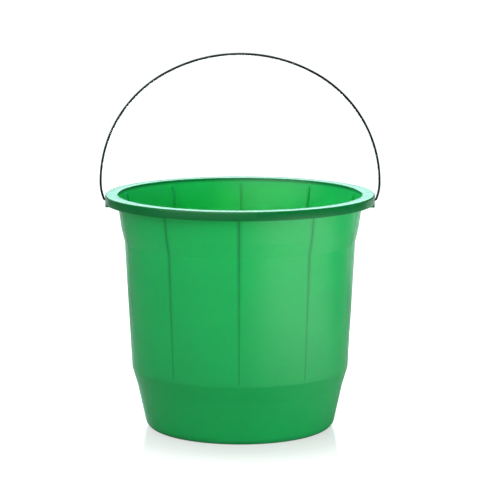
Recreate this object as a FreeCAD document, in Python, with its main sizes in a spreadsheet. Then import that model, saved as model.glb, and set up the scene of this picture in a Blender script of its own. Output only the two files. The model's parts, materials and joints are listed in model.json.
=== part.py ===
# Florist bucket: one moulded tapered shell with stacking ribs and two drilled lugs, and one bent wire bail.
# Millimetres. The origin is on the floor under the bucket's axis, +Z is up and X runs through both lugs.
import FreeCAD, Part

import math
import os

import Sketcher

SIZES = {
    # rim
    "rim_diameter": 290.0,
    "rim_height": 254.5,
    "rim_thickness": 1.8,
    "skirt_depth": 9.5,
    "skirt_thickness": 1.8,
    "rim_outer_round": 1.7,
    "rim_inner_round": 1.4,
    # wall, outer radii with the heights that they stand at
    "wall_thickness": 1.6,
    "collar_slope": 0.145,
    "collar_foot_radius": 127.7,
    "collar_foot_height": 218.0,
    "wall_top_radius": 124.2,
    "wall_top_height": 203.0,
    "shoulder_radius": 117.1,
    "shoulder_height": 66.0,
    "band_radius": 111.5,
    "band_height": 47.5,
    # base
    "corner_radius": 101.0,
    "corner_round": 10.4,
    "base_thickness": 2.0,
    "recess_radius": 84.0,
    "recess_depth": 1.5,
    # stacking ribs
    "rib_count": 10.0,
    "rib_thickness": 2.0,
    "rib_depth": 2.2,
    "rib_top_height": 250.0,
    "rib_runout": 5.0,
    # lugs
    "lug_width": 17.0,
    "lug_foot_height": 240.0,
    "lug_thickness": 3.0,
    "lug_web": 1.8,
    "lug_root_radius": 128.0,
    "bore_clearance": 0.08,
    # bail
    "pivot_height": 247.5,
    "wire_diameter": 2.5,
    "bail_half_width": 150.0,
    "bail_widest_height": 266.0,
    "bail_top_height": 404.4,
    "bail_top_radius": 166.0,
    "lug_bend_radius": 2.0,
    "lug_bend_start": 144.9,
    "hook_bend_radius": 2.0,
    "hook_reach": 139.5,
    "hook_length": 4.5,
}

# Where an outline's corners start before its constraints place them.
ROUGH_CENTRE = 10.0
ROUGH_RADIUS = 5.0
# Rounds that settle the tight bend's angle to well under a thousandth of a degree.
BEND_ROUNDS = 40

doc = FreeCAD.newDocument("florist_bucket")


def make_sheet():
    """Put every driving dimension in the document's sheet, one row each."""
    sheet = doc.addObject("Spreadsheet::Sheet", "sizes")
    for row, (alias, value) in enumerate(SIZES.items(), start=1):
        sheet.set(f"A{row}", alias)
        sheet.set(f"B{row}", str(value))
        sheet.setAlias(f"B{row}", alias)
    doc.recompute()
    return sheet


def origin_feature(body, role):
    """Return the plane or axis of the body's own origin that has this role."""
    return next(item for item in body.Origin.OriginFeatures if item.Role == role)


def attach_sketch(body, name, role):
    """Start a sketch on one of the body's origin planes."""
    sketch = body.newObject("Sketcher::SketchObject", name)
    sketch.AttachmentSupport = [(origin_feature(body, role), "")]
    sketch.MapMode = "FlatFace"
    return sketch


def bind_point(sketch, edge, end, across, up):
    """Tie one end of an edge to the sheet. A missing distance puts the point on that axis."""
    for kind, distance, axis in (("DistanceX", across, -2), ("DistanceY", up, -1)):
        if distance is None:
            sketch.addConstraint(Sketcher.Constraint("PointOnObject", edge, end, axis))
            continue
        start = 1.0 + edge + end
        index = sketch.addConstraint(Sketcher.Constraint(kind, -1, 1, edge, end, start))
        sketch.setExpression(f"Constraints[{index}]", distance)


def outline_sketch(body, name, role, corners):
    """Draw a closed outline of straight edges. Each corner is a pair of sheet expressions."""
    sketch = attach_sketch(body, name, role)
    count = len(corners)
    rough = []
    for i in range(count):
        turn = 2 * math.pi * i / count
        across = ROUGH_CENTRE + ROUGH_RADIUS * math.cos(turn)
        up = ROUGH_CENTRE + ROUGH_RADIUS * math.sin(turn)
        rough.append(FreeCAD.Vector(across, up, 0))
    for i in range(count):
        sketch.addGeometry(Part.LineSegment(rough[i], rough[(i + 1) % count]), False)
    for i in range(count):
        sketch.addConstraint(Sketcher.Constraint("Coincident", i, 2, (i + 1) % count, 1))
    for i, (across, up) in enumerate(corners):
        bind_point(sketch, i, 1, across, up)
    doc.recompute()
    return sketch


def ring_edges(feature, radius, height):
    """Name the circular edges about the vertical axis with this radius and height."""
    names = []
    for index, edge in enumerate(feature.Shape.Edges, start=1):
        if not isinstance(edge.Curve, Part.Circle):
            continue
        centre = edge.Curve.Center
        on_axis = math.hypot(centre.x, centre.y) < 0.01
        if on_axis and abs(edge.Curve.Radius - radius) < 0.02 and abs(centre.z - height) < 0.02:
            names.append(f"Edge{index}")
    return names


def repeat_about_axis(body, base, name, count_expression):
    """Repeat one feature evenly about the vertical axis."""
    pattern = body.newObject("PartDesign::PolarPattern", name)
    pattern.Originals = [base]
    pattern.Axis = (origin_feature(body, "Z_Axis"), [""])
    pattern.Angle = 360.0
    pattern.setExpression("Occurrences", count_expression)
    body.Tip = pattern
    doc.recompute()
    return pattern


# Sheet expressions: the rim's underside, the collar's outer radius at a height, and the radius where the
# inside of the wall would meet the floor without rounding.
RIM_UNDERSIDE = "sizes.rim_height - sizes.rim_thickness"
COLLAR_AT = "sizes.collar_foot_radius + ({height} - sizes.collar_foot_height) * sizes.collar_slope"
INNER_CORNER = (
    "sizes.corner_radius + sizes.base_thickness * (sizes.band_radius - sizes.corner_radius)"
    " / sizes.band_height - sizes.wall_thickness"
)


def wall_corners(inset, foot, top):
    """List the corners of the wall's line, set in by a distance, between its foot and its top."""
    kinks = ["band", "shoulder", "wall_top", "collar_foot"]
    middle = [(f"sizes.{name}_radius - {inset}", f"sizes.{name}_height") for name in kinks]
    return [foot] + middle + [top]


def outer_solid(body):
    """Revolve the bucket's outside, still filled, with the rim flange and the skirt below it."""
    skirt_inside = "sizes.rim_diameter / 2 - sizes.skirt_thickness"
    skirt_foot = "sizes.rim_height - sizes.skirt_depth"
    corners = [
        (None, "sizes.recess_depth"),
        ("sizes.recess_radius", "sizes.recess_depth"),
        ("sizes.recess_radius + sizes.recess_depth", None),
    ]
    corners += wall_corners(
        "0", ("sizes.corner_radius", None), (COLLAR_AT.format(height=f"({RIM_UNDERSIDE})"), RIM_UNDERSIDE)
    )
    corners += [
        (skirt_inside, RIM_UNDERSIDE),
        (skirt_inside, skirt_foot),
        ("sizes.rim_diameter / 2", skirt_foot),
        ("sizes.rim_diameter / 2", "sizes.rim_height"),
        (None, "sizes.rim_height"),
    ]
    sketch = outline_sketch(body, "outside_section", "XZ_Plane", corners)
    solid = body.newObject("PartDesign::Revolution", "outside")
    solid.Profile = sketch
    solid.ReferenceAxis = (sketch, ["V_Axis"])
    solid.Angle = 360.0
    doc.recompute()
    return solid


def lug_sketch(body):
    """Draw one lug from above: an outer plate that follows the rim, and two webs back to the wall."""
    sketch = attach_sketch(body, "lug_outline", "XY_Plane")
    sketch.setExpression("AttachmentOffset.Base.z", "sizes.lug_foot_height")
    rim = SIZES["rim_diameter"] / 2
    inside = rim - SIZES["lug_thickness"]
    half = SIZES["lug_width"] / 2
    gap = half - SIZES["lug_web"]
    root = SIZES["lug_root_radius"]

    def arc(radius, half_width):
        turn = math.asin(half_width / radius)
        circle = Part.Circle(FreeCAD.Vector(0, 0, 0), FreeCAD.Vector(0, 0, 1), radius)
        return Part.ArcOfCircle(circle, -turn, turn)

    def line(x1, y1, x2, y2):
        return Part.LineSegment(FreeCAD.Vector(x1, y1, 0), FreeCAD.Vector(x2, y2, 0))

    outer_x = math.sqrt(rim ** 2 - half ** 2)
    inner_x = math.sqrt(inside ** 2 - gap ** 2)
    # 0 outer arc, 1 inner arc, then one web on +Y (2 to 4) and one on -Y (5 to 7)
    sketch.addGeometry([arc(rim, half), arc(inside, gap)], False)
    for side in (1, -1):
        sketch.addGeometry(
            [
                line(outer_x, side * half, root, side * half),
                line(root, side * half, root, side * gap),
                line(root, side * gap, inner_x, side * gap),
            ],
            False,
        )
    joined = [(0, 2, 2, 1), (2, 2, 3, 1), (3, 2, 4, 1), (4, 2, 1, 2)]
    joined += [(0, 1, 5, 1), (5, 2, 6, 1), (6, 2, 7, 1), (7, 2, 1, 1)]
    for first, first_end, second, second_end in joined:
        sketch.addConstraint(Sketcher.Constraint("Coincident", first, first_end, second, second_end))
    for curve in (0, 1):
        sketch.addConstraint(Sketcher.Constraint("Coincident", curve, 3, -1, 1))
    for edge in (2, 4, 5, 7):
        sketch.addConstraint(Sketcher.Constraint("Horizontal", edge))
    for edge in (3, 6):
        sketch.addConstraint(Sketcher.Constraint("Vertical", edge))
    sketch.addConstraint(Sketcher.Constraint("Symmetric", 3, 1, 6, 1, -1))
    sized = [
        (Sketcher.Constraint("Radius", 0, rim), "sizes.rim_diameter / 2"),
        (Sketcher.Constraint("Radius", 1, inside), "sizes.rim_diameter / 2 - sizes.lug_thickness"),
        (Sketcher.Constraint("DistanceY", -1, 1, 3, 1, half), "sizes.lug_width / 2"),
        (Sketcher.Constraint("DistanceY", -1, 1, 3, 2, gap), "sizes.lug_width / 2 - sizes.lug_web"),
        (Sketcher.Constraint("DistanceY", 6, 2, -1, 1, gap), "sizes.lug_width / 2 - sizes.lug_web"),
        (Sketcher.Constraint("DistanceX", -1, 1, 3, 1, root), "sizes.lug_root_radius"),
    ]
    for constraint, expression in sized:
        index = sketch.addConstraint(constraint)
        sketch.setExpression(f"Constraints[{index}]", expression)
    doc.recompute()
    return sketch


def add_lugs(body):
    """Stand both lugs under the rim, half a turn apart."""
    lug = body.newObject("PartDesign::Pad", "lug")
    lug.Profile = lug_sketch(body)
    lug.setExpression("Length", "sizes.rim_height - sizes.rim_thickness / 2 - sizes.lug_foot_height")
    doc.recompute()
    return repeat_about_axis(body, lug, "both_lugs", "2")


def cut_cavity(body):
    """Hollow the bucket to its wall and floor thickness, and round the inside corners."""
    raised_floor = "sizes.recess_depth + sizes.base_thickness"
    above_rim = "sizes.rim_height + sizes.rim_thickness"
    corners = [
        (None, raised_floor),
        ("sizes.recess_radius", raised_floor),
        ("sizes.recess_radius + sizes.recess_depth", "sizes.base_thickness"),
    ]
    mouth = COLLAR_AT.format(height=f"({above_rim})")
    corners += wall_corners(
        "sizes.wall_thickness",
        (INNER_CORNER, "sizes.base_thickness"),
        (f"{mouth} - sizes.wall_thickness", above_rim),
    )
    corners.append((None, above_rim))
    sketch = outline_sketch(body, "cavity_section", "XZ_Plane", corners)
    cavity = body.newObject("PartDesign::Groove", "cavity")
    cavity.Profile = sketch
    cavity.ReferenceAxis = (sketch, ["V_Axis"])
    cavity.Angle = 360.0
    body.Tip = cavity
    doc.recompute()
    return cavity


def round_edges(body):
    """Round the bottom corner inside and outside, and both edges of the rim."""
    slope = (SIZES["band_radius"] - SIZES["corner_radius"]) / SIZES["band_height"]
    floor = SIZES["base_thickness"]
    inner_corner = SIZES["corner_radius"] + slope * floor - SIZES["wall_thickness"]
    top = SIZES["rim_height"]
    rise = top - SIZES["collar_foot_height"]
    lip = SIZES["collar_foot_radius"] + rise * SIZES["collar_slope"] - SIZES["wall_thickness"]
    rounds = [
        ("inner_corner_rounding", inner_corner, floor, "sizes.corner_round - sizes.wall_thickness"),
        ("corner_rounding", SIZES["corner_radius"], 0.0, "sizes.corner_round"),
        ("rim_outer_rounding", SIZES["rim_diameter"] / 2, top, "sizes.rim_outer_round"),
        ("lip_rounding", lip, top, "sizes.rim_inner_round"),
    ]
    for name, radius, height, expression in rounds:
        base = body.Tip
        fillet = body.newObject("PartDesign::Fillet", name)
        fillet.Base = (base, ring_edges(base, radius, height))
        fillet.setExpression("Radius", expression)
        body.Tip = fillet
        doc.recompute()
    return body.Tip


def add_ribs(body):
    """Raise the ribs on the inside of the wall, from below the lip to the shoulder."""
    root = "sizes.wall_thickness / 2"
    edge = "sizes.wall_thickness - sizes.rib_depth"
    top = COLLAR_AT.format(height="sizes.rib_top_height")
    edge_top = COLLAR_AT.format(height="(sizes.rib_top_height - sizes.rib_runout)")
    kinks = ["wall_top", "collar_foot"]
    outside = [(f"sizes.{name}_radius - {root}", f"sizes.{name}_height") for name in kinks]
    inside = [(f"sizes.{name}_radius - {edge}", f"sizes.{name}_height") for name in kinks]
    corners = [(f"sizes.shoulder_radius - {root}", "sizes.shoulder_height")]
    corners += outside
    corners.append((f"{top} - {root}", "sizes.rib_top_height"))
    corners.append((f"{edge_top} - {edge}", "sizes.rib_top_height - sizes.rib_runout"))
    corners += inside[::-1]
    corners.append((f"sizes.shoulder_radius - {edge}", "sizes.shoulder_height + sizes.rib_runout"))
    rib = body.newObject("PartDesign::Pad", "rib")
    rib.Profile = outline_sketch(body, "rib_section", "YZ_Plane", corners)
    rib.setExpression("Length", "sizes.rib_thickness")
    rib.Midplane = True
    doc.recompute()
    return repeat_about_axis(body, rib, "all_ribs", "sizes.rib_count")


def drill_lugs(body):
    """Drill each lug's plate for the wire, on the axis that the bail swings about."""
    sketch = attach_sketch(body, "bore_circle", "YZ_Plane")
    sketch.setExpression("AttachmentOffset.Base.z", "sizes.hook_reach")
    radius = SIZES["wire_diameter"] / 2 + SIZES["bore_clearance"]
    centre = FreeCAD.Vector(0, SIZES["pivot_height"], 0)
    sketch.addGeometry(Part.Circle(centre, FreeCAD.Vector(0, 0, 1), radius), False)
    sketch.addConstraint(Sketcher.Constraint("PointOnObject", 0, 3, -2))
    height = Sketcher.Constraint("DistanceY", -1, 1, 0, 3, SIZES["pivot_height"])
    sized = [
        (height, "sizes.pivot_height"),
        (Sketcher.Constraint("Radius", 0, radius), "sizes.wire_diameter / 2 + sizes.bore_clearance"),
    ]
    for constraint, expression in sized:
        index = sketch.addConstraint(constraint)
        sketch.setExpression(f"Constraints[{index}]", expression)
    doc.recompute()
    bore = body.newObject("PartDesign::Pocket", "bore")
    bore.Profile = sketch
    bore.Reversed = True
    bore.setExpression("Length", "sizes.bail_half_width - sizes.hook_reach")
    doc.recompute()
    return repeat_about_axis(body, bore, "both_bores", "2")


def make_shell():
    """Build the moulded bucket."""
    body = doc.addObject("PartDesign::Body", "bucket_shell")
    body.Label = "bucket_shell"
    volumes = []
    for step in (outer_solid, add_lugs, cut_cavity, round_edges, add_ribs, drill_lugs):
        volumes.append(step(body).Shape.Volume)
    solid, with_lugs, hollow, rounded, ribbed, drilled = volumes
    if not (with_lugs > solid and hollow < with_lugs and ribbed > rounded and drilled < ribbed):
        raise RuntimeError(f"a shell feature added or cut nothing: {volumes}")
    return body


def bail_path(body):
    """Draw the right half of the wire's centre line, from the top of the bail to the hook's tip."""
    sketch = attach_sketch(body, "bail_path", "XZ_Plane")
    pivot = SIZES["pivot_height"]
    half = SIZES["bail_half_width"]
    widest = SIZES["bail_widest_height"]
    top = SIZES["bail_top_height"]
    top_radius = SIZES["bail_top_radius"]
    top_centre = top - top_radius
    # The side arc ends upright at the widest point and touches the top arc inside.
    rise = widest - top_centre
    side_radius = (top_radius ** 2 - half ** 2 - rise ** 2) / (2 * (top_radius - half))
    side_centre = half - side_radius
    join = math.atan2(rise, side_centre)
    # The lower arc leaves the tight bend at the angle that brings it upright at the widest point.
    bend = SIZES["lug_bend_radius"]
    bend_x = SIZES["lug_bend_start"]
    turn = math.radians(60.0)
    for _ in range(BEND_ROUNDS):
        leave_x = bend_x + bend * math.sin(turn)
        leave_z = pivot + bend * (1 - math.cos(turn))
        turn = math.pi / 2 - 2 * math.atan2(half - leave_x, widest - leave_z)
    lower_radius = (widest - leave_z) / math.cos(turn)
    hook = SIZES["hook_bend_radius"]
    reach = SIZES["hook_reach"]

    def arc(x, z, radius, start, end):
        circle = Part.Circle(FreeCAD.Vector(x, z, 0), FreeCAD.Vector(0, 0, 1), radius)
        return Part.ArcOfCircle(circle, start, end)

    def line(x1, z1, x2, z2):
        return Part.LineSegment(FreeCAD.Vector(x1, z1, 0), FreeCAD.Vector(x2, z2, 0))

    # 0 top arc, 1 side arc, 2 lower arc, 3 tight bend, 4 pin, 5 hook bend, 6 hook leg
    sketch.addGeometry(
        [
            arc(0, top_centre, top_radius, join, math.pi / 2),
            arc(side_centre, widest, side_radius, 0, join),
            arc(half - lower_radius, widest, lower_radius, turn - math.pi / 2, 0),
            arc(bend_x, pivot + bend, bend, -math.pi / 2, turn - math.pi / 2),
            line(bend_x, pivot, reach + hook, pivot),
            arc(reach + hook, pivot - hook, hook, math.pi / 2, math.pi),
            line(reach, pivot - hook, reach, pivot - SIZES["hook_length"]),
        ],
        False,
    )
    tangent_ends = [(0, 1, 1, 2), (1, 1, 2, 2), (2, 1, 3, 2), (3, 1, 4, 1), (4, 2, 5, 1), (5, 2, 6, 1)]
    for first, first_end, second, second_end in tangent_ends:
        sketch.addConstraint(Sketcher.Constraint("Tangent", first, first_end, second, second_end))
    sketch.addConstraint(Sketcher.Constraint("PointOnObject", 0, 3, -2))
    sketch.addConstraint(Sketcher.Constraint("PointOnObject", 0, 2, -2))
    sketch.addConstraint(Sketcher.Constraint("Horizontal", 1, 3, 1, 1))
    sketch.addConstraint(Sketcher.Constraint("Horizontal", 4))
    sketch.addConstraint(Sketcher.Constraint("Vertical", 6))
    sized = [
        (Sketcher.Constraint("DistanceY", -1, 1, 0, 2, top), "sizes.bail_top_height"),
        (Sketcher.Constraint("Radius", 0, top_radius), "sizes.bail_top_radius"),
        (Sketcher.Constraint("DistanceX", -1, 1, 1, 1, half), "sizes.bail_half_width"),
        (Sketcher.Constraint("DistanceY", -1, 1, 1, 1, widest), "sizes.bail_widest_height"),
        (Sketcher.Constraint("Radius", 3, bend), "sizes.lug_bend_radius"),
        (Sketcher.Constraint("DistanceX", -1, 1, 4, 1, bend_x), "sizes.lug_bend_start"),
        (Sketcher.Constraint("DistanceY", -1, 1, 4, 1, pivot), "sizes.pivot_height"),
        (Sketcher.Constraint("Radius", 5, hook), "sizes.hook_bend_radius"),
        (Sketcher.Constraint("DistanceX", -1, 1, 6, 2, reach), "sizes.hook_reach"),
        (
            Sketcher.Constraint("DistanceY", -1, 1, 6, 2, pivot - SIZES["hook_length"]),
            "sizes.pivot_height - sizes.hook_length",
        ),
    ]
    for constraint, expression in sized:
        index = sketch.addConstraint(constraint)
        sketch.setExpression(f"Constraints[{index}]", expression)
    doc.recompute()
    return sketch


def make_bail():
    """Sweep the wire along half of the bail and mirror it to the other lug."""
    body = doc.addObject("PartDesign::Body", "wire_bail")
    body.Label = "wire_bail"
    path = bail_path(body)
    section = attach_sketch(body, "wire_section", "YZ_Plane")
    centre = FreeCAD.Vector(0, SIZES["bail_top_height"], 0)
    radius = SIZES["wire_diameter"] / 2
    section.addGeometry(Part.Circle(centre, FreeCAD.Vector(0, 0, 1), radius), False)
    section.addConstraint(Sketcher.Constraint("PointOnObject", 0, 3, -2))
    height = Sketcher.Constraint("DistanceY", -1, 1, 0, 3, SIZES["bail_top_height"])
    sized = [
        (height, "sizes.bail_top_height"),
        (Sketcher.Constraint("Radius", 0, radius), "sizes.wire_diameter / 2"),
    ]
    for constraint, expression in sized:
        index = section.addConstraint(constraint)
        section.setExpression(f"Constraints[{index}]", expression)
    doc.recompute()
    half = body.newObject("PartDesign::AdditivePipe", "half_bail")
    half.Profile = section
    half.Spine = (path, [f"Edge{i}" for i in range(1, len(path.Shape.Edges) + 1)])
    doc.recompute()
    expected = math.pi * radius ** 2 * path.Shape.Length
    if abs(half.Shape.Volume - expected) > 0.01 * expected:
        raise RuntimeError(f"the wire's volume is {half.Shape.Volume:.1f}, not {expected:.1f}")
    whole = body.newObject("PartDesign::Mirrored", "whole_bail")
    whole.Originals = [half]
    whole.MirrorPlane = (origin_feature(body, "YZ_Plane"), [""])
    body.Tip = whole
    doc.recompute()
    return body


def check_document():
    """Stop if any object failed to rebuild."""
    for item in doc.Objects:
        if "Invalid" in item.State or "Error" in item.State:
            raise RuntimeError(f"{item.Label} failed: {item.State}")


def export_parts(bodies):
    """Check each piece and write it as its own STEP file."""
    os.makedirs("parts", exist_ok=True)
    for body in bodies:
        shape = body.Shape
        if shape.isNull() or not shape.isValid() or len(shape.Solids) != 1:
            raise RuntimeError(f"{body.Label} is not one valid solid")
    for body in bodies:
        box = body.Shape.optimalBoundingBox(False, False)
        print(f"{body.Label}: volume {body.Shape.Volume:.0f} mm3")
        print(f"  X {box.XMin:.2f} to {box.XMax:.2f}, Y {box.YMin:.2f} to {box.YMax:.2f}")
        print(f"  Z {box.ZMin:.2f} to {box.ZMax:.2f}")
        body.Shape.exportStep(f"parts/{body.Label}.step")


make_sheet()
pieces = [make_shell(), make_bail()]
doc.recompute()
check_document()
export_parts(pieces)
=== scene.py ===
import json
import math

import bmesh
import bpy
from mathutils import Matrix, Vector


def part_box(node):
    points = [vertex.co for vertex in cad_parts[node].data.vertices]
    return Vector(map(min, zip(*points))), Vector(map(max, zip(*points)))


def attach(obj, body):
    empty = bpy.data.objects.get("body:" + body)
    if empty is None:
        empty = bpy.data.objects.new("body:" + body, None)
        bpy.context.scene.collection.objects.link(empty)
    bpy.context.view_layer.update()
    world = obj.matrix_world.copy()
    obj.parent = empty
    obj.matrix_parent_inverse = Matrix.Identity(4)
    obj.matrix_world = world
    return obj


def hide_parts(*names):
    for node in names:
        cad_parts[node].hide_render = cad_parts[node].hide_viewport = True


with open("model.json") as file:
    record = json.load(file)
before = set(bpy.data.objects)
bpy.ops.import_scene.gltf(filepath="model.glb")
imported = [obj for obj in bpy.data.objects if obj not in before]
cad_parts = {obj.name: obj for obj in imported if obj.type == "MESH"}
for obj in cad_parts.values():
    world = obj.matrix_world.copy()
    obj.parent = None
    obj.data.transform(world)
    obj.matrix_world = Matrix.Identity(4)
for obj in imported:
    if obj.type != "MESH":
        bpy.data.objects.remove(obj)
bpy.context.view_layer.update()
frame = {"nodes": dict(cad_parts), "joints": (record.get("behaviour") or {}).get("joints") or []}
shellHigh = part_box("bucket_shell")[1]
swing = next(j for j in frame["joints"] if j["name"] == "bail_swing")
pivotHeight = swing["pos_m"][2]
print("frame loaded:", ", ".join(sorted(frame["nodes"])))

# camera, at the height of someone sitting across a studio table

cameraLook = {
    "distance": 2.5075,
    "height": 0.5912,
    "tiltDown": 8.79,
    "turn": 0.5,
    "lens": 176.2,
}


def makeCamera(look):
    data = bpy.data.cameras.new("studioCamera")
    data.lens = look["lens"]
    data.clip_start = 0.05
    camera = bpy.data.objects.new("studioCamera", data)
    turn = math.radians(look["turn"])
    away = look["distance"]
    camera.location = (away * math.sin(turn), -away * math.cos(turn), look["height"])
    camera.rotation_euler = (math.radians(90 - look["tiltDown"]), 0, turn)
    bpy.context.scene.collection.objects.link(camera)
    bpy.context.scene.camera = camera


makeCamera(cameraLook)
bpy.context.scene.view_settings.view_transform = "Standard"
print("camera placed")

# helpers for node trees and meshes


def addNode(tree, kind, values=(), **settings):
    node = tree.nodes.new(kind)
    for name, value in settings.items():
        setattr(node, name, value)
    for socket, value in dict(values).items():
        node.inputs[socket].default_value = value
    return node


def link(tree, source, target):
    tree.links.new(source, target)


def mathNode(tree, operation, first, second=None, clamp=False):
    node = tree.nodes.new("ShaderNodeMath")
    node.operation = operation
    node.use_clamp = clamp
    for socket, value in zip(node.inputs, (first, second)):
        if value is None:
            continue
        if isinstance(value, (int, float)):
            socket.default_value = value
        else:
            tree.links.new(value, socket)
    return node.outputs[0]


def chain(count):
    # the edges that join points one after the other
    return [(i, i + 1) for i in range(count - 1)]


def plainMesh(item, name):
    # the evaluated shape as a mesh of its own, with no modifiers left
    bpy.context.view_layer.update()
    graph = bpy.context.evaluated_depsgraph_get()
    mesh = bpy.data.meshes.new_from_object(item.evaluated_get(graph), depsgraph=graph)
    mesh.name = name
    return mesh


def turnOutwards(mesh):
    shape = bmesh.new()
    shape.from_mesh(mesh)
    bmesh.ops.recalc_face_normals(shape, faces=shape.faces)
    shape.to_mesh(mesh)
    shape.free()


def addObject(name, mesh):
    item = bpy.data.objects.new(name, mesh)
    bpy.context.scene.collection.objects.link(item)
    return item


# materials

surfaceWear = {
    "smudgeScale": 9.0,
    "smudgeDetail": 3.0,
    "smudgeRoughness": 0.55,
    "smudgeDistortion": 0.6,
    "smudgeRange": (0.35, 0.7),
    "grainScale": 900.0,
    "grainDetail": 2.0,
    "grainRoughness": 0.6,
}


def makeHandlingGroup(look):
    # soft handling marks and fine grain that the plastic and the wire share
    group = bpy.data.node_groups.new("handlingMarks", "ShaderNodeTree")
    group.interface.new_socket("Vector", in_out="INPUT", socket_type="NodeSocketVector")
    for name, value in (("Smudge Scale", look["smudgeScale"]), ("Grain Scale", look["grainScale"])):
        socket = group.interface.new_socket(name, in_out="INPUT", socket_type="NodeSocketFloat")
        socket.default_value = value
    for name in ("Smudge", "Grain"):
        group.interface.new_socket(name, in_out="OUTPUT", socket_type="NodeSocketFloat")
    start = group.nodes.new("NodeGroupInput")
    end = group.nodes.new("NodeGroupOutput")
    smudge = addNode(
        group,
        "ShaderNodeTexNoise",
        {
            "Detail": look["smudgeDetail"],
            "Roughness": look["smudgeRoughness"],
            "Distortion": look["smudgeDistortion"],
        },
    )
    grain = addNode(
        group,
        "ShaderNodeTexNoise",
        {"Detail": look["grainDetail"], "Roughness": look["grainRoughness"]},
    )
    for node, scale in ((smudge, "Smudge Scale"), (grain, "Grain Scale")):
        link(group, start.outputs["Vector"], node.inputs["Vector"])
        link(group, start.outputs[scale], node.inputs["Scale"])
    faint, full = look["smudgeRange"]
    spread = addNode(group, "ShaderNodeMapRange", {"From Min": faint, "From Max": full})
    link(group, smudge.outputs["Fac"], spread.inputs["Value"])
    link(group, spread.outputs["Result"], end.inputs["Smudge"])
    link(group, grain.outputs["Fac"], end.inputs["Grain"])
    return group


handlingMarks = makeHandlingGroup(surfaceWear)


def newMaterial(name):
    material = bpy.data.materials.new(name)
    material.use_nodes = True
    tree = material.node_tree
    shader = tree.nodes["Principled BSDF"]
    place = tree.nodes.new("ShaderNodeTexCoord")
    return material, tree, shader, place.outputs["Object"]


def placeMarks(tree, vector, look):
    node = tree.nodes.new("ShaderNodeGroup")
    node.node_tree = handlingMarks
    link(tree, vector, node.inputs["Vector"])
    node.inputs["Smudge Scale"].default_value = look["smudgeScale"]
    node.inputs["Grain Scale"].default_value = look["grainScale"]
    return node


plasticLook = {
    "tint": (0.027, 0.700, 0.186, 1.0),
    # the deep colour that the painted shade and the pigment's cloudiness mix towards
    "cloudAndShadeTint": (0.001, 0.245, 0.055, 1.0),
    "roughness": 0.2,
    "smudgeGloss": 0.06,  # how much rougher a handling mark is
    "smudgeScale": 14.0,
    "grainScale": 1400.0,
    "grainShare": 0.01,  # the grain's height as a share of the slow waves'
    "cloudScale": 22.0,
    "cloudShare": 0.12,
    "waveScale": 35.0,
    "waveHeight": 0.00012,
    "scatter": (0.9, 2.4, 1.0),
    "scatterScale": 0.001,
    "ior": 1.49,
}


def makePlastic(look):
    material, tree, shader, place = newMaterial("tintedPolypropylene")
    marks = placeMarks(tree, place, look)
    paintedShade = addNode(tree, "ShaderNodeAttribute", attribute_name="paintedShade")
    cloud = addNode(
        tree,
        "ShaderNodeTexNoise",
        {"Scale": look["cloudScale"], "Detail": 2.0, "Roughness": 0.5},
    )
    link(tree, place, cloud.inputs["Vector"])
    # deeper with painted shade on the ribs and behind them, on the rim, skirt and lugs and towards the
    # base, with a faint cloudiness of the pigment
    cloudShare = mathNode(tree, "MULTIPLY", cloud.outputs["Fac"], look["cloudShare"])
    share = mathNode(tree, "ADD", paintedShade.outputs["Fac"], cloudShare, clamp=True)
    tint = addNode(tree, "ShaderNodeMix", data_type="RGBA")
    tint.inputs["A"].default_value = look["tint"]
    tint.inputs["B"].default_value = look["cloudAndShadeTint"]
    link(tree, share, tint.inputs["Factor"])
    link(tree, tint.outputs["Result"], shader.inputs["Base Color"])
    rough = mathNode(tree, "MULTIPLY_ADD", marks.outputs["Smudge"], look["smudgeGloss"])
    rough.node.inputs[2].default_value = look["roughness"]
    link(tree, rough, shader.inputs["Roughness"])
    bump = addNode(tree, "ShaderNodeBump", {"Strength": 1.0, "Distance": look["waveHeight"]})
    wave = addNode(tree, "ShaderNodeTexNoise", {"Scale": look["waveScale"], "Detail": 1.0})
    link(tree, place, wave.inputs["Vector"])
    grainShare = mathNode(tree, "MULTIPLY_ADD", marks.outputs["Grain"], look["grainShare"])
    link(tree, wave.outputs["Fac"], grainShare.node.inputs[2])
    link(tree, grainShare, bump.inputs["Height"])
    link(tree, bump.outputs["Normal"], shader.inputs["Normal"])
    shader.inputs["Subsurface Weight"].default_value = 1.0
    shader.inputs["Subsurface Radius"].default_value = look["scatter"]
    shader.inputs["Subsurface Scale"].default_value = look["scatterScale"]
    shader.inputs["IOR"].default_value = look["ior"]
    return material


steelLook = {
    "tint": (0.060, 0.066, 0.064, 1.0),
    "dullTint": (0.025, 0.030, 0.028, 1.0),
    "roughness": 0.32,
    "smudgeGloss": 0.15,
    "smudgeScale": 60.0,
    "grainScale": 2600.0,
    "grainHeight": 0.00004,
    "grainStrength": 0.5,
}


def makeSteel(look):
    material, tree, shader, place = newMaterial("drawnSteelWire")
    marks = placeMarks(tree, place, look)
    tint = addNode(tree, "ShaderNodeMix", data_type="RGBA")
    tint.inputs["A"].default_value = look["tint"]
    tint.inputs["B"].default_value = look["dullTint"]
    link(tree, marks.outputs["Smudge"], tint.inputs["Factor"])
    link(tree, tint.outputs["Result"], shader.inputs["Base Color"])
    rough = mathNode(tree, "MULTIPLY_ADD", marks.outputs["Smudge"], look["smudgeGloss"])
    rough.node.inputs[2].default_value = look["roughness"]
    link(tree, rough, shader.inputs["Roughness"])
    bump = addNode(
        tree,
        "ShaderNodeBump",
        {"Strength": look["grainStrength"], "Distance": look["grainHeight"]},
    )
    link(tree, marks.outputs["Grain"], bump.inputs["Height"])
    link(tree, bump.outputs["Normal"], shader.inputs["Normal"])
    shader.inputs["Metallic"].default_value = 1.0
    return material


plastic = makePlastic(plasticLook)
steel = makeSteel(steelLook)
print("materials made")

# the bucket shell: a section turned about the axis, with ribs between its columns

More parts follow.
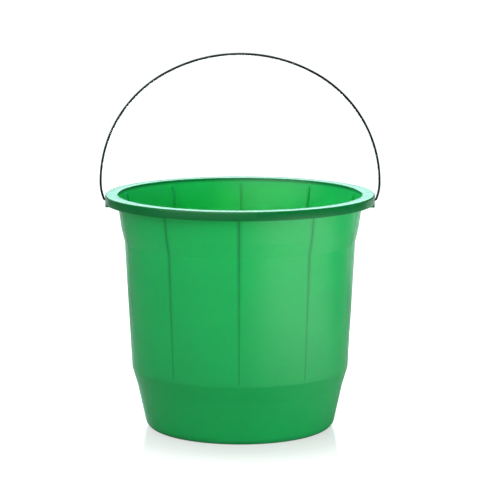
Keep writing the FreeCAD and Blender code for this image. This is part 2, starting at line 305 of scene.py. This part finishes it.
shellSizes = {
    # millimetres
    "rimThickness": 1.8,
    "skirtDepth": 9.5,
    "skirtThickness": 1.8,
    "wall": 1.6,
    "floor": 2.0,
    "recessRadius": 84.0,
    "recessDepth": 1.5,
    # outer radius, height and rounding of each bend of the wall
    "corner": (101.0, 0.0, 10.4),
    "band": (111.5, 47.5, 16.0),
    "shoulder": (117.1, 66.0, 7.0),
    "wallTop": (124.2, 203.0, 9.0),
    "collarFoot": (127.7, 218.0, 9.0),
    "collarSlope": 0.145,
    # ribs
    "ribs": 10,
    "ribWidth": 2.0,
    "ribDepth": 2.2,
    "ribFoot": 66.0,
    "ribTop": 250.0,
    "ribRunout": 5.0,
    "sinkDepth": 0.03,
    "sinkTop": 245.0,
    "columnsPerBay": 30,
    # roundings of the base's and the rim's edges
    "recessRound": 1.0,
    "ringRound": 0.8,
    "underRimRound": 1.2,
    "skirtInsideRound": 0.5,
    "skirtFootRound": 0.45,
    "rimRound": 1.7,
    "mouthRound": 1.4,
    # how far the tint deepens with painted shade: on a rib, behind its middle and its roots (the rib's
    # painted shadow through the wall), at the foot (darker towards the base)
    "ribShade": 0.3,
    "ribShadowShade": 0.75,
    "rootShadowShare": 0.3,
    "footShade": 0.32,
    "shoulderShadeShare": 0.8,
    # lugs
    "lugWidth": 17.0,
    "lugFoot": 240.0,
    "lugThickness": 3.0,
    "lugWeb": 1.8,
    "lugInset": 0.03,  # keeps the lug's face just inside the skirt's, so that the two don't cross
    "lugBevel": 0.35,
    "boreRadius": 1.33,
    "boreLength": 7.0,
    "boreSides": 32,
    "sharpAngle": 32,  # degrees; a sharper edge than this stays crisp
}
mm = 0.001
roundSteps = 8  # faces along each rounded bend
mostOfRun = 0.49  # the most of a straight run that one rounding may take
ringSpacing = 7.0  # millimetres between rings on the straight runs
nearly = 0.1  # millimetres of slack when a vertex is told by its place


def roundCorner(before, corner, after, radius):
    # points of an arc that touches both runs of a corner
    toBefore, toAfter = (before - corner).normalized(), (after - corner).normalized()
    half = toBefore.angle(toAfter) / 2
    reach = radius / math.tan(half)
    limit = mostOfRun * min((before - corner).length, (after - corner).length)
    if reach > limit:
        reach, radius = limit, limit * math.tan(half)
    centre = corner + (toBefore + toAfter).normalized() * (radius / math.sin(half))
    start, end = corner + toBefore * reach, corner + toAfter * reach
    sweep = (start - centre).angle_signed(end - centre)
    points = []
    for step in range(roundSteps + 1):
        turn = Matrix.Rotation(-sweep * step / roundSteps, 2)
        points.append(centre + turn @ (start - centre))
    return points


def shellSection(sizes, rimRadius, rimHeight):
    # (radius, height, rounding, rib, sink, painted shade) round the section, from the base's middle
    # back to it;
    # the last three say how much of a rib, of a sink mark and of painted shade a row has
    wall, slope = sizes["wall"], sizes["collarSlope"]
    footRadius, footHeight, _ = sizes["collarFoot"]

    def collar(height, inset=0.0):
        return footRadius + (height - footHeight) * slope - inset

    bends = [sizes["band"], sizes["shoulder"], sizes["wallTop"], sizes["collarFoot"]]
    cornerRadius, _, cornerRound = sizes["corner"]
    recess, rise, floor = sizes["recessRadius"], sizes["recessDepth"], sizes["floor"]
    under = rimHeight - sizes["rimThickness"]
    skirtFoot = rimHeight - sizes["skirtDepth"]
    skirtInside = rimRadius - sizes["skirtThickness"]
    ribTop, runout = sizes["ribTop"], sizes["ribRunout"]
    shoulderRadius, shoulderHeight, shoulderRound = sizes["shoulder"]
    topRadius, topHeight, _ = sizes["wallTop"]
    bandRadius, bandHeight, bandRound = sizes["band"]
    bandSlope = (bandRadius - cornerRadius) / bandHeight
    wallSlope = (topRadius - shoulderRadius) / (topHeight - shoulderHeight)
    runoutHeight = sizes["ribFoot"] + runout
    runoutRadius = shoulderRadius + (runoutHeight - shoulderHeight) * wallSlope
    # painted shade: the base and foot rows are darker towards the bottom
    low = sizes["footShade"]
    section = [
        (0.0, rise, 0, 0, 0, low),
        (recess, rise, sizes["recessRound"], 0, 0, low),
        (recess + rise, 0.0, sizes["ringRound"], 0, 0, low),
        (cornerRadius, 0.0, cornerRound, 0, 0, low),
    ]
    section += [(radius, height, bend, 0, 0, low) for radius, height, bend in bends[:2]]
    section += [(runoutRadius, runoutHeight, 0, 0, 1, low * sizes["shoulderShadeShare"])]
    section += [(radius, height, bend, 0, 1, 0) for radius, height, bend in bends[2:]]
    # the rows from under the rim to the mouth carry full painted shade, for the rim and skirt in shade
    section += [
        (collar(sizes["sinkTop"]), sizes["sinkTop"], 0, 0, 1, 0),
        (collar(under), under, sizes["underRimRound"], 0, 0, 1),
        (skirtInside, under, sizes["skirtInsideRound"], 0, 0, 1),
        (skirtInside, skirtFoot, sizes["skirtInsideRound"], 0, 0, 1),
        (rimRadius, skirtFoot, sizes["skirtFootRound"], 0, 0, 1),
        (rimRadius, rimHeight, sizes["rimRound"], 0, 0, 1),
        (collar(rimHeight, wall), rimHeight, sizes["mouthRound"], 0, 0, 1),
        (collar(ribTop, wall), ribTop, 0, 0, 0, 0),
        (collar(ribTop - runout, wall), ribTop - runout, 0, 1, 0, 0),
    ]
    section += [(radius - wall, height, bend, 1, 0, 0) for radius, height, bend in bends[:1:-1]]
    section += [
        (runoutRadius - wall, runoutHeight, 0, 1, 0, 0),
        (shoulderRadius - wall, shoulderHeight, shoulderRound, 0, 0, 0),
        (bandRadius - wall, bandHeight, bandRound, 0, 0, 0),
        (cornerRadius + bandSlope * floor - wall, floor, cornerRound - wall, 0, 0, 0),
        (recess + rise, floor, sizes["ringRound"], 0, 0, 0),
        (recess, rise + floor, sizes["recessRound"], 0, 0, 0),
        (0.0, rise + floor, 0, 0, 0, 0),
    ]
    return section


def sectionMesh(section):
    # a line of points with rounded bends, and rings along the straight runs
    corners = [Vector(row[:2]) for row in section]
    rows = []
    for i, row in enumerate(section):
        points = [corners[i]]
        if row[2]:
            points = roundCorner(corners[i - 1], corners[i], corners[i + 1], row[2])
        rows += [(point, Vector(row[3:])) for point in points]
    spaced = [rows[0]]
    for point, shares in rows[1:]:
        start, startShares = spaced[-1]
        parts = max(1, round((point - start).length / ringSpacing))
        for part in range(1, parts + 1):
            spaced.append((start.lerp(point, part / parts), startShares.lerp(shares, part / parts)))
    mesh = bpy.data.meshes.new("shellSection")
    places = [(point.x * mm, 0, point.y * mm) for point, _ in spaced]
    mesh.from_pydata(places, chain(len(places)), [])
    for column, name in enumerate(("rib", "sink", "rowShade")):
        values = mesh.attributes.new(name, "FLOAT", "POINT")
        values.data.foreach_set("value", [shares[column] for _, shares in spaced])
    return mesh


def makeTurnTree(material):
    # turns a section about Z; every bay of columns starts with one rib
    tree = bpy.data.node_groups.new("turnRibbedSection", "GeometryNodeTree")
    tree.interface.new_socket("Section", in_out="INPUT", socket_type="NodeSocketGeometry")
    for name, kind, value in (
        ("Ribs", "NodeSocketInt", 10),
        ("Columns Per Bay", "NodeSocketInt", 30),
        ("Rib Half Angle", "NodeSocketFloat", 0.008),
        ("Rib Depth", "NodeSocketFloat", 0.0022),
        ("Sink Depth", "NodeSocketFloat", 0.00005),
        ("First Rib Angle", "NodeSocketFloat", 0.0),
        ("Rib Shade", "NodeSocketFloat", 0.3),
        ("Rib Shadow Shade", "NodeSocketFloat", 0.6),
        ("Root Shadow Share", "NodeSocketFloat", 0.3),
    ):
        socket = tree.interface.new_socket(name, in_out="INPUT", socket_type=kind)
        socket.default_value = value
    tree.interface.new_socket("Shell", in_out="OUTPUT", socket_type="NodeSocketGeometry")
    start = tree.nodes.new("NodeGroupInput")
    end = tree.nodes.new("NodeGroupOutput")
    section = start.outputs["Section"]
    ribs, perBay = start.outputs["Ribs"], start.outputs["Columns Per Bay"]

    def add(first, second):
        return mathNode(tree, "ADD", first, second)

    def subtract(first, second):
        return mathNode(tree, "SUBTRACT", first, second)

    def multiply(first, second):
        return mathNode(tree, "MULTIPLY", first, second)

    def divide(first, second):
        return mathNode(tree, "DIVIDE", first, second)

    def largest(first, second):
        return mathNode(tree, "MAXIMUM", first, second)

    size = addNode(tree, "GeometryNodeAttributeDomainSize", component="MESH")
    link(tree, section, size.inputs["Geometry"])
    rows = size.outputs["Point Count"]
    grid = tree.nodes.new("GeometryNodeMeshGrid")
    link(tree, add(multiply(ribs, perBay), 1), grid.inputs["Vertices X"])
    link(tree, rows, grid.inputs["Vertices Y"])
    # half a step is added before each division, so that rounding never loses a row or a column
    index = tree.nodes.new("GeometryNodeInputIndex").outputs[0]
    column = mathNode(tree, "FLOOR", divide(add(index, 0.5), rows))
    row = subtract(index, multiply(column, rows))
    bay = mathNode(tree, "FLOOR", divide(add(column, 0.5), perBay))
    step = subtract(column, multiply(bay, perBay))
    # steps 0 to 4 are the rib's two roots, its two edges and its middle; the others share out the bay
    middleStep, lastStep = 2, 4
    aside = largest(mathNode(tree, "MINIMUM", subtract(step, middleStep), 1), -1)
    along = divide(largest(subtract(step, lastStep), 0), subtract(perBay, lastStep))
    halfAngle = start.outputs["Rib Half Angle"]
    bayAngle = divide(2 * math.pi, ribs)
    gapAngle = subtract(bayAngle, multiply(halfAngle, 2))
    angle = add(start.outputs["First Rib Angle"], multiply(bay, bayAngle))
    angle = add(angle, multiply(aside, halfAngle))
    angle = add(angle, multiply(along, gapAngle))
    fromMiddle = mathNode(tree, "ABSOLUTE", subtract(step, middleStep))
    onMiddle = mathNode(tree, "LESS_THAN", fromMiddle, 0.5)
    onRib = mathNode(tree, "LESS_THAN", fromMiddle, 1.5)
    toRoots = mathNode(tree, "LESS_THAN", fromMiddle, 2.5)

    def sectionValue(name, kind):
        node = addNode(tree, "GeometryNodeSampleIndex", data_type=kind, domain="POINT")
        link(tree, section, node.inputs["Geometry"])
        if name == "position":
            value = tree.nodes.new("GeometryNodeInputPosition").outputs[0]
        else:
            named = addNode(tree, "GeometryNodeInputNamedAttribute", {"Name": name}, data_type="FLOAT")
            value = named.outputs["Attribute"]
        link(tree, value, node.inputs["Value"])
        link(tree, row, node.inputs["Index"])
        return node.outputs["Value"]

    parts = tree.nodes.new("ShaderNodeSeparateXYZ")
    link(tree, sectionValue("position", "FLOAT_VECTOR"), parts.inputs[0])
    ribShare = multiply(sectionValue("rib", "FLOAT"), onRib)
    sink = sectionValue("sink", "FLOAT")
    radius = subtract(parts.outputs["X"], multiply(ribShare, start.outputs["Rib Depth"]))
    radius = subtract(radius, multiply(multiply(sink, onMiddle), start.outputs["Sink Depth"]))
    place = tree.nodes.new("ShaderNodeCombineXYZ")
    link(tree, multiply(radius, mathNode(tree, "COSINE", angle)), place.inputs["X"])
    link(tree, multiply(radius, mathNode(tree, "SINE", angle)), place.inputs["Y"])
    link(tree, parts.outputs["Z"], place.inputs["Z"])
    move = tree.nodes.new("GeometryNodeSetPosition")
    link(tree, grid.outputs["Mesh"], move.inputs["Geometry"])
    link(tree, place.outputs[0], move.inputs["Position"])
    # painted shadow of the rib on the outer wall: full behind the rib's middle, fading out past its
    # roots
    behindRib = largest(onMiddle, multiply(toRoots, start.outputs["Root Shadow Share"]))
    ribShadowShade = multiply(multiply(sink, behindRib), start.outputs["Rib Shadow Shade"])
    # painted shade on the ribs, and from the rows of the rim, skirt and foot
    depth = largest(multiply(ribShare, start.outputs["Rib Shade"]), sectionValue("rowShade", "FLOAT"))
    paintedShade = addNode(
        tree,
        "GeometryNodeStoreNamedAttribute",
        {"Name": "paintedShade"},
        data_type="FLOAT",
        domain="POINT",
    )
    link(tree, move.outputs[0], paintedShade.inputs["Geometry"])
    link(tree, largest(depth, ribShadowShade), paintedShade.inputs["Value"])
    merge = addNode(tree, "GeometryNodeMergeByDistance", {"Distance": 1e-6})
    link(tree, paintedShade.outputs["Geometry"], merge.inputs["Geometry"])
    realize = tree.nodes.new("GeometryNodeRealizeInstances")
    link(tree, merge.outputs["Geometry"], realize.inputs["Geometry"])
    finish = addNode(tree, "GeometryNodeSetMaterial", {"Material": material})
    link(tree, realize.outputs["Geometry"], finish.inputs["Geometry"])
    link(tree, finish.outputs["Geometry"], end.inputs["Shell"])
    return tree


def setInputs(modifier, values):
    sockets = {
        item.name: item.identifier
        for item in modifier.node_group.interface.items_tree
        if item.item_type == "SOCKET" and item.in_out == "INPUT"
    }
    for name, value in values.items():
        modifier[sockets[name]] = value


def lugMesh(sizes, rimRadius, rimHeight, side):
    # one lug seen from above, raised from its foot into the rim: a curved plate and two webs
    inside = rimRadius - sizes["lugThickness"]
    outside = rimRadius - sizes["lugInset"]
    half, gap = sizes["lugWidth"] / 2, sizes["lugWidth"] / 2 - sizes["lugWeb"]
    footRadius, footHeight, _ = sizes["collarFoot"]
    root = footRadius + (sizes["lugFoot"] - footHeight) * sizes["collarSlope"] - sizes["wall"] / 2

    def arc(radius, reach, steps=10):
        turn = math.asin(reach / radius)
        angles = [turn * (2 * i / steps - 1) for i in range(steps + 1)]
        return [(radius * math.cos(a), radius * math.sin(a)) for a in angles]

    outline = arc(outside, half) + [(root, half), (root, gap)]
    outline += arc(inside, gap)[::-1] + [(root, -gap), (root, -half)]
    shape = bmesh.new()
    bottom = [shape.verts.new((side * x * mm, y * mm, sizes["lugFoot"] * mm)) for x, y in outline]
    face = shape.faces.new(bottom)
    raised = bmesh.ops.extrude_face_region(shape, geom=[face])["geom"]
    top = [item for item in raised if isinstance(item, bmesh.types.BMVert)]
    lift = rimHeight - sizes["rimThickness"] / 2 - sizes["lugFoot"]
    bmesh.ops.translate(shape, verts=top, vec=(0, 0, lift * mm))
    for corner in top:
        # the webs' roots stay inside the collar, which leans outwards
        if abs(corner.co.x) < (root + nearly) * mm:
            corner.co.x += side * lift * sizes["collarSlope"] * mm
    bmesh.ops.recalc_face_normals(shape, faces=shape.faces)
    footLevel = (sizes["lugFoot"] + nearly) * mm
    low = [edge for edge in shape.edges if all(corner.co.z < footLevel for corner in edge.verts)]
    bevel = sizes["lugBevel"] * mm
    bmesh.ops.bevel(shape, geom=low, offset=bevel, segments=2, affect="EDGES", profile=0.5)
    mesh = bpy.data.meshes.new("lug")
    shape.to_mesh(mesh)
    shape.free()
    return mesh


def boreMesh(sizes, rimRadius, side):
    shape = bmesh.new()
    turn = Matrix.Rotation(math.pi / 2, 4, "Y")
    middle = Matrix.Translation((side * (rimRadius - sizes["lugThickness"] / 2) * mm, 0, pivotHeight))
    bmesh.ops.create_cone(
        shape,
        cap_ends=True,
        segments=sizes["boreSides"],
        radius1=sizes["boreRadius"] * mm,
        radius2=sizes["boreRadius"] * mm,
        depth=sizes["boreLength"] * mm,
        matrix=middle @ turn,
    )
    mesh = bpy.data.meshes.new("bore")
    shape.to_mesh(mesh)
    shape.free()
    return mesh


def shadeLugs(mesh, sizes):
    # painted shade: the lugs get the same painted shade as the rim that they hang from
    footRadius, footHeight, _ = sizes["collarFoot"]
    depth = mesh.attributes["paintedShade"].data
    for corner, value in zip(mesh.vertices, depth):
        across, height = math.hypot(*corner.co.xy) / mm, corner.co.z / mm
        wallRadius = footRadius + (height - footHeight) * sizes["collarSlope"]
        if height > sizes["lugFoot"] - nearly and across > wallRadius + 3 * nearly:
            value.value = 1.0


def makeShell(sizes, material):
    rimRadius, rimHeight = sizes["rimRadius"], sizes["rimHeight"]
    base = addObject("shellSection", sectionMesh(shellSection(sizes, rimRadius, rimHeight)))
    turned = base.modifiers.new("turn", "NODES")
    turned.node_group = makeTurnTree(material)
    ribRadius = (sizes["shoulder"][0] + sizes["collarFoot"][0]) / 2
    setInputs(
        turned,
        {
            "Ribs": sizes["ribs"],
            "Columns Per Bay": sizes["columnsPerBay"],
            "Rib Half Angle": sizes["ribWidth"] / 2 / ribRadius,
            "Rib Depth": sizes["ribDepth"] * mm,
            "Sink Depth": sizes["sinkDepth"] * mm,
            "First Rib Angle": math.pi / 2,  # at the back's middle, which puts another at the front's
            "Rib Shade": sizes["ribShade"],
            "Rib Shadow Shade": sizes["ribShadowShade"],
            "Root Shadow Share": sizes["rootShadowShare"],
        },
    )
    shell = addObject("shellTurned", plainMesh(base, "shellTurned"))
    bpy.data.objects.remove(base)
    turnOutwards(shell.data)
    helpers = []
    for side in (-1, 1):
        for operation, mesh in (
            ("UNION", lugMesh(sizes, rimRadius, rimHeight, side)),
            ("DIFFERENCE", boreMesh(sizes, rimRadius, side)),
        ):
            helper = addObject("helper", mesh)
            helper.hide_render = True
            cut = shell.modifiers.new(operation, "BOOLEAN")
            cut.operation = operation
            cut.solver = "EXACT"
            cut.object = helper
            helpers.append(helper)
    mesh = plainMesh(shell, "bucketShell")
    shadeLugs(mesh, sizes)
    for item in helpers + [shell]:
        bpy.data.objects.remove(item)
    mesh.materials.clear()
    mesh.materials.append(material)
    mesh.polygons.foreach_set("material_index", [0] * len(mesh.polygons))
    mesh.polygons.foreach_set("use_smooth", [True] * len(mesh.polygons))
    mesh.set_sharp_from_angle(angle=math.radians(sizes["sharpAngle"]))
    piece = addObject("bucketShell", mesh)
    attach(piece, "bucket")
    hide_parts("bucket_shell")
    return piece


# the rim's size is the frame's own
shellSizes["rimRadius"] = round(shellHigh.y / mm, 1)
shellSizes["rimHeight"] = round(shellHigh.z / mm, 1)
shell = makeShell(shellSizes, plastic)
print("shell made:", len(shell.data.polygons), "faces")

# the bail: one wire bent in the plane of the lugs, with a hook at each end

bailSizes = {
    # millimetres, along the wire's centre line
    "wireDiameter": 2.5,
    "sides": 24,
    "hookReach": 139.5,
    "hookLength": 4.5,
    "hookBend": 2.0,
    "lugBend": 2.0,
    "lugBendStart": 144.9,
    "halfWidth": 150.0,
    "widestHeight": 266.0,
    "topHeight": 404.4,
    "topRadius": 166.0,
    "stepLength": 1.5,
    "sharpAngle": 50,  # degrees; only the cut ends stay crisp
}
samePoint = 0.01  # millimetres; where two arcs meet, their shared point is kept once


def touchingRadius(centre, radius, edge, height):
    # radius of the arc that stands upright at (edge, height) and touches the given circle
    across, up = edge - centre.x, height - centre.y
    return (across**2 + up**2 - radius**2) / (2 * (across - radius))


def halfBail(sizes, pivot):
    # the right half, from the hook's tip to the top
    points = [Vector((sizes["hookReach"], pivot - sizes["hookLength"]))]

    def arc(centre, radius, start, end):
        steps = max(6, round(radius * abs(end - start) / sizes["stepLength"]))
        for step in range(steps + 1):
            turn = start + (end - start) * step / steps
            point = centre + Vector((math.cos(turn), math.sin(turn))) * radius
            if (point - points[-1]).length > samePoint:
                points.append(point)

    hookBend, lugBend = sizes["hookBend"], sizes["lugBend"]
    hookCentre = Vector((sizes["hookReach"] + hookBend, pivot - hookBend))
    lugCentre = Vector((sizes["lugBendStart"], pivot + lugBend))
    topCentre = Vector((0, sizes["topHeight"] - sizes["topRadius"]))
    edge, widest = sizes["halfWidth"], sizes["widestHeight"]
    lowRadius = touchingRadius(lugCentre, lugBend, edge, widest)
    sideRadius = touchingRadius(topCentre, sizes["topRadius"], edge, widest)
    lowCentre, sideCentre = Vector((edge - lowRadius, widest)), Vector((edge - sideRadius, widest))
    lowStart = math.atan2(*(lugCentre - lowCentre).yx)
    sideEnd = math.atan2(*(sideCentre - topCentre).yx)
    arc(hookCentre, hookBend, math.pi, math.pi / 2)
    arc(lugCentre, lugBend, -math.pi / 2, lowStart)
    arc(lowCentre, lowRadius, lowStart, 0)
    arc(sideCentre, sideRadius, 0, sideEnd)
    arc(topCentre, sizes["topRadius"], sideEnd, math.pi / 2)
    return points


def makeWireTree(material):
    tree = bpy.data.node_groups.new("wireAlongPath", "GeometryNodeTree")
    tree.interface.new_socket("Path", in_out="INPUT", socket_type="NodeSocketGeometry")
    for name, kind, value in (
        ("Wire Radius", "NodeSocketFloat", 0.00125),
        ("Sides", "NodeSocketInt", 24),
    ):
        socket = tree.interface.new_socket(name, in_out="INPUT", socket_type=kind)
        socket.default_value = value
    tree.interface.new_socket("Wire", in_out="OUTPUT", socket_type="NodeSocketGeometry")
    start = tree.nodes.new("NodeGroupInput")
    end = tree.nodes.new("NodeGroupOutput")
    curve = tree.nodes.new("GeometryNodeMeshToCurve")
    link(tree, start.outputs["Path"], curve.inputs["Mesh"])
    circle = tree.nodes.new("GeometryNodeCurvePrimitiveCircle")
    link(tree, start.outputs["Sides"], circle.inputs["Resolution"])
    link(tree, start.outputs["Wire Radius"], circle.inputs["Radius"])
    wire = addNode(tree, "GeometryNodeCurveToMesh", {"Fill Caps": True})
    link(tree, curve.outputs[0], wire.inputs["Curve"])
    link(tree, circle.outputs[0], wire.inputs["Profile Curve"])
    realize = tree.nodes.new("GeometryNodeRealizeInstances")
    link(tree, wire.outputs[0], realize.inputs["Geometry"])
    finish = addNode(tree, "GeometryNodeSetMaterial", {"Material": material})
    link(tree, realize.outputs["Geometry"], finish.inputs["Geometry"])
    link(tree, finish.outputs["Geometry"], end.inputs["Wire"])
    return tree


def makeBail(sizes, material):
    half = halfBail(sizes, pivotHeight / mm)
    path = half + [Vector((-point.x, point.y)) for point in half[-2::-1]]
    mesh = bpy.data.meshes.new("bailPath")
    mesh.from_pydata([(point.x * mm, 0, point.y * mm) for point in path], chain(len(path)), [])
    base = addObject("bailPath", mesh)
    bent = base.modifiers.new("wire", "NODES")
    bent.node_group = makeWireTree(material)
    setInputs(bent, {"Wire Radius": sizes["wireDiameter"] / 2 * mm, "Sides": sizes["sides"]})
    wire = plainMesh(base, "wireBail")
    bpy.data.objects.remove(base)
    turnOutwards(wire)
    wire.polygons.foreach_set("use_smooth", [True] * len(wire.polygons))
    wire.set_sharp_from_angle(angle=math.radians(sizes["sharpAngle"]))
    piece = addObject("wireBail", wire)
    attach(piece, "bail")
    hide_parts("wire_bail")
    return piece


bail = makeBail(bailSizes, steel)
print("bail made:", len(bail.data.polygons), "faces")

# floor, world and lights

studioLook = {
    "floorSize": 40.0,
    "floorTint": (0.31, 0.31, 0.31, 1.0),
    "floorRoughness": 0.12,
    "floorIor": 1.12,
    # the floor's glow to the camera: lower close to the bucket, a painted shadow round its base, and
    # full from farther out
    "floorGlowAndShadow": (0.64, 1.0),
    "shadowReach": (0.10, 0.23),
    # a pool of light at the front right, which only the bucket's gloss shows
    "poolCentre": (0.70, -0.50, 0.0),
    "poolReach": (0.28, 0.78),
    "poolGlow": 1.4,
    # a large white card at the front left lights that side; each pair is where it starts and where
    # it is full, as parts of a direction
    "cardFront": (0.1, -0.6),
    "cardLeft": (0.6, -0.4),
    "cardTint": (1.20, 1.40, 1.40, 1.0),
    "roomTint": (0.02, 0.02, 0.02, 1.0),
}


def fade(tree, value, start, end, low=0.0, high=1.0):
    # goes smoothly from low to high as the value goes from start to end
    node = addNode(
        tree,
        "ShaderNodeMapRange",
        {"From Min": start, "From Max": end, "To Min": low, "To Max": high},
        interpolation_type="SMOOTHSTEP",
    )
    link(tree, value, node.inputs["Value"])
    return node.outputs["Result"]


def distanceFrom(tree, place, centre):
    node = tree.nodes.new("ShaderNodeVectorMath")
    node.operation = "DISTANCE"
    link(tree, place, node.inputs[0])
    node.inputs[1].default_value = centre
    return node.outputs["Value"]


def makeFloor(look):
    half = look["floorSize"] / 2
    corners = [(-half, -half, 0), (half, -half, 0), (half, half, 0), (-half, half, 0)]
    mesh = bpy.data.meshes.new("studioFloor")
    mesh.from_pydata(corners, [], [(0, 1, 2, 3)])
    floor = addObject("studioFloor", mesh)
    material, tree, shader, place = newMaterial("paleFloor")
    shader.inputs["Base Color"].default_value = look["floorTint"]
    shader.inputs["Roughness"].default_value = look["floorRoughness"]
    shader.inputs["IOR"].default_value = look["floorIor"]
    path = tree.nodes.new("ShaderNodeLightPath")
    # painted shadow: the floor's glow to the camera drops close to the bucket
    spread = fade(tree, distanceFrom(tree, place, (0, 0, 0)), *look["shadowReach"], *look["floorGlowAndShadow"])
    glowAndShadow = mathNode(tree, "MULTIPLY", path.outputs["Is Camera Ray"], spread)
    inner, outer = look["poolReach"]
    fromPool = distanceFrom(tree, place, look["poolCentre"])
    pool = fade(tree, fromPool, outer, inner, 0.0, look["poolGlow"])
    shine = mathNode(tree, "MULTIPLY", path.outputs["Is Glossy Ray"], pool)
    shader.inputs["Emission Color"].default_value = (1, 1, 1, 1)
    link(tree, mathNode(tree, "ADD", glowAndShadow, shine), shader.inputs["Emission Strength"])
    mesh.materials.append(material)


def makeSky(look):
    # a dim room with the card in it; the camera sees plain white
    world = bpy.data.worlds.new("studioSky")
    world.use_nodes = True
    tree = world.node_tree
    room = tree.nodes["Background"]
    direction = tree.nodes.new("ShaderNodeTexCoord")
    parts = tree.nodes.new("ShaderNodeSeparateXYZ")
    link(tree, direction.outputs["Generated"], parts.inputs[0])
    front = fade(tree, parts.outputs["Y"], *look["cardFront"])
    left = fade(tree, parts.outputs["X"], *look["cardLeft"])
    share = mathNode(tree, "MULTIPLY", front, left)
    tint = addNode(tree, "ShaderNodeMix", data_type="RGBA")
    tint.inputs["A"].default_value = look["roomTint"]
    tint.inputs["B"].default_value = look["cardTint"]
    link(tree, share, tint.inputs["Factor"])
    link(tree, tint.outputs["Result"], room.inputs["Color"])
    plain = tree.nodes.new("ShaderNodeBackground")
    plain.inputs["Color"].default_value = (1, 1, 1, 1)
    path = tree.nodes.new("ShaderNodeLightPath")
    both = tree.nodes.new("ShaderNodeMixShader")
    link(tree, path.outputs["Is Camera Ray"], both.inputs[0])
    link(tree, room.outputs[0], both.inputs[1])
    link(tree, plain.outputs[0], both.inputs[2])
    link(tree, both.outputs[0], tree.nodes["World Output"].inputs["Surface"])
    bpy.context.scene.world = world


coolWhite = (0.85, 1.0, 1.0)
mintWhite = (0.58, 1.0, 0.95)
studioLights = {
    # place, aim, (width, height), watts, tint, and whether the bucket mirrors it
    "overheadBox": ((-0.2, 0.3, 2.3), (0, 0, 0.1), (1.6, 1.6), 25.5, coolWhite, True),
    "backBox": ((-0.4, 1.8, 1.4), (0, 0, 0.15), (2.6, 1.4), 16.0, coolWhite, True),
    "rimStrip": ((-0.5, 3.0, 0.95), (0, 0, 0.25), (2.4, 0.7), 15.0, mintWhite, True),
    "backLowBox": ((0.1, 0.7, 0.12), (0, 0, 0.12), (1.4, 0.22), 0.4, coolWhite, True),
    "behindSpot": ((0.03, 0.6, 0.14), (0, 0, 0.14), (0.16, 0.16), 2.8, coolWhite, True),
    "rightBox": ((1.9, -0.6, 0.40), (0, 0, 0.12), (1.6, 0.26), 12.0, coolWhite, False),
    "rightFrontBox": ((1.3, -1.5, 0.16), (0, 0, 0.12), (1.8, 0.28), 9.0, coolWhite, False),
}


def makeLight(name, place, aim, size, power, tint, mirrored):
    data = bpy.data.lights.new(name, "AREA")
    data.shape = "RECTANGLE"
    data.size, data.size_y = size
    data.energy = power
    data.color = tint
    lamp = bpy.data.objects.new(name, data)
    lamp.location = place
    lamp.rotation_euler = (Vector(place) - Vector(aim)).to_track_quat("Z", "Y").to_euler()
    lamp.visible_camera = False
    lamp.visible_glossy = mirrored
    bpy.context.scene.collection.objects.link(lamp)


makeFloor(studioLook)
makeSky(studioLook)
for lightName, values in studioLights.items():
    makeLight(lightName, *values)
print("studio made")
